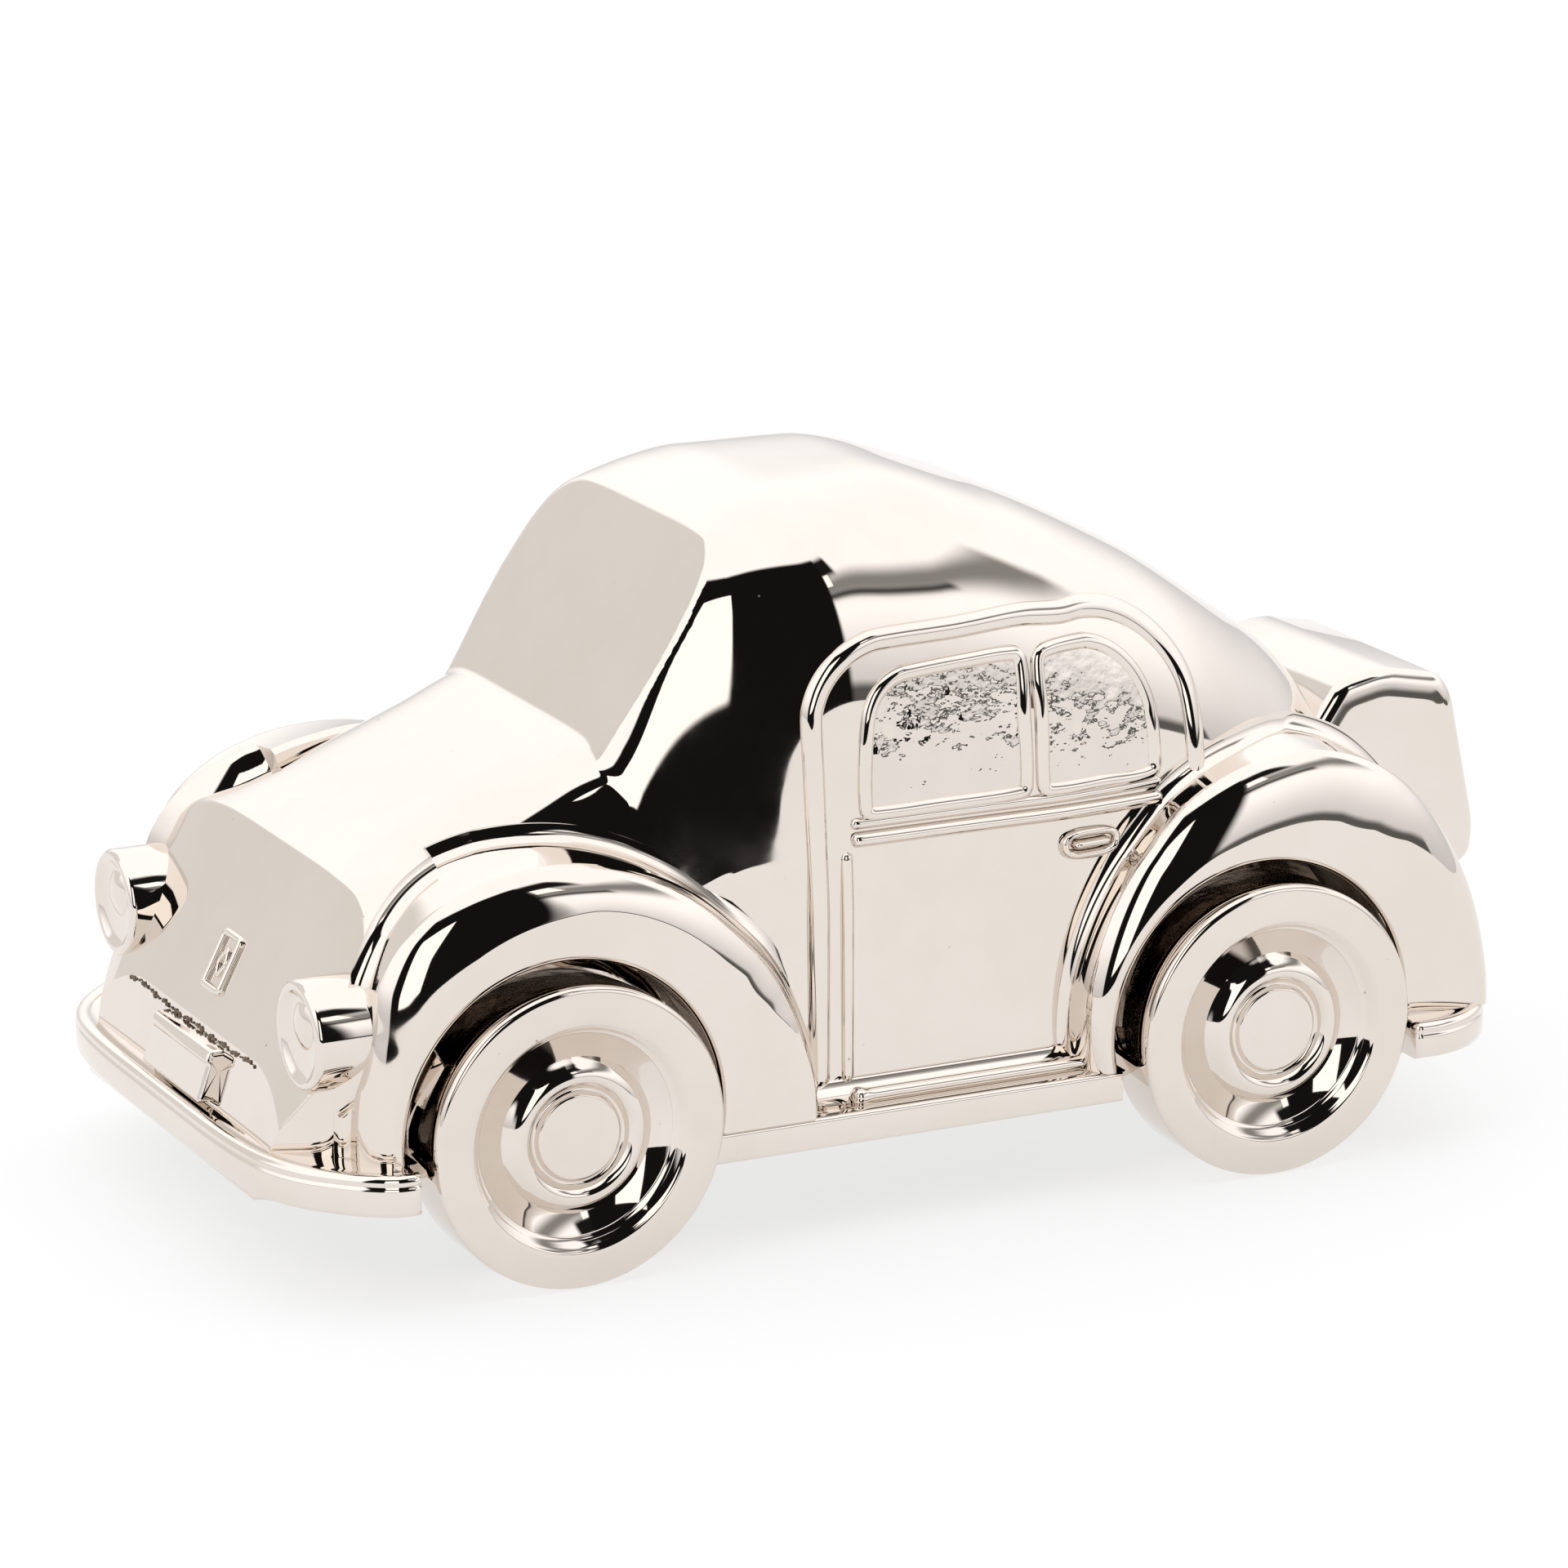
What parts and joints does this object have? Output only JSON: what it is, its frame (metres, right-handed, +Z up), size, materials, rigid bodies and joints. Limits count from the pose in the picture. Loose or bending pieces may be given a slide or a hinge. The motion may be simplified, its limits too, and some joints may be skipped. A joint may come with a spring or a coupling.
{
  "type": "diecast model car",
  "caption": "Plated metal model of a rounded saloon car on rolling wheels, with a luggage box on the tail.",
  "frame": {"origin": "on the ground, below the middle of the car's bounding box", "axes": "+X is the front, +Y is the car's left, +Z is up"},
  "size_m": [0.1406, 0.0726, 0.07],
  "materials": {
    "plate": "bright, slightly warm silver plating over a casting",
    "wheel_plate": "bright plating, the tyre ring a little softer",
    "underside": "plain stamped plate",
    "steel": "drawn rod and screws"
  },
  "bodies": {
    "car_body": {"body_shell": "plate", "base_plate": "underside", "luggage_trunk": "plate", "front_bumper": "plate", "rear_bumper": "plate", "number_plate": "plate", "bonnet_badge": "plate", "headlight_left": "plate", "headlight_right": "plate", "headlight_lens_left": "plate", "headlight_lens_right": "plate", "door_handle_left": "plate", "door_handle_right": "plate", "base_screws": "steel"},
    "front_wheelset": {"front_axle": "steel", "wheel_front_left": "wheel_plate", "wheel_front_right": "wheel_plate", "hub_cap_front_left": "plate", "hub_cap_front_right": "plate"},
    "rear_wheelset": {"rear_axle": "steel", "wheel_rear_left": "wheel_plate", "wheel_rear_right": "wheel_plate", "hub_cap_rear_left": "plate", "hub_cap_rear_right": "plate"}
  },
  "joints": [
    {"name": "front_axle_spin", "type": "hinge", "parent": "car_body", "child": "front_wheelset", "pos_m": [0.04088, 0, 0.015], "axis": [0, 1, 0], "continuous": true},
    {"name": "rear_axle_spin", "type": "hinge", "parent": "car_body", "child": "rear_wheelset", "pos_m": [-0.03518, 0, 0.015], "axis": [0, 1, 0], "continuous": true}
  ]
}
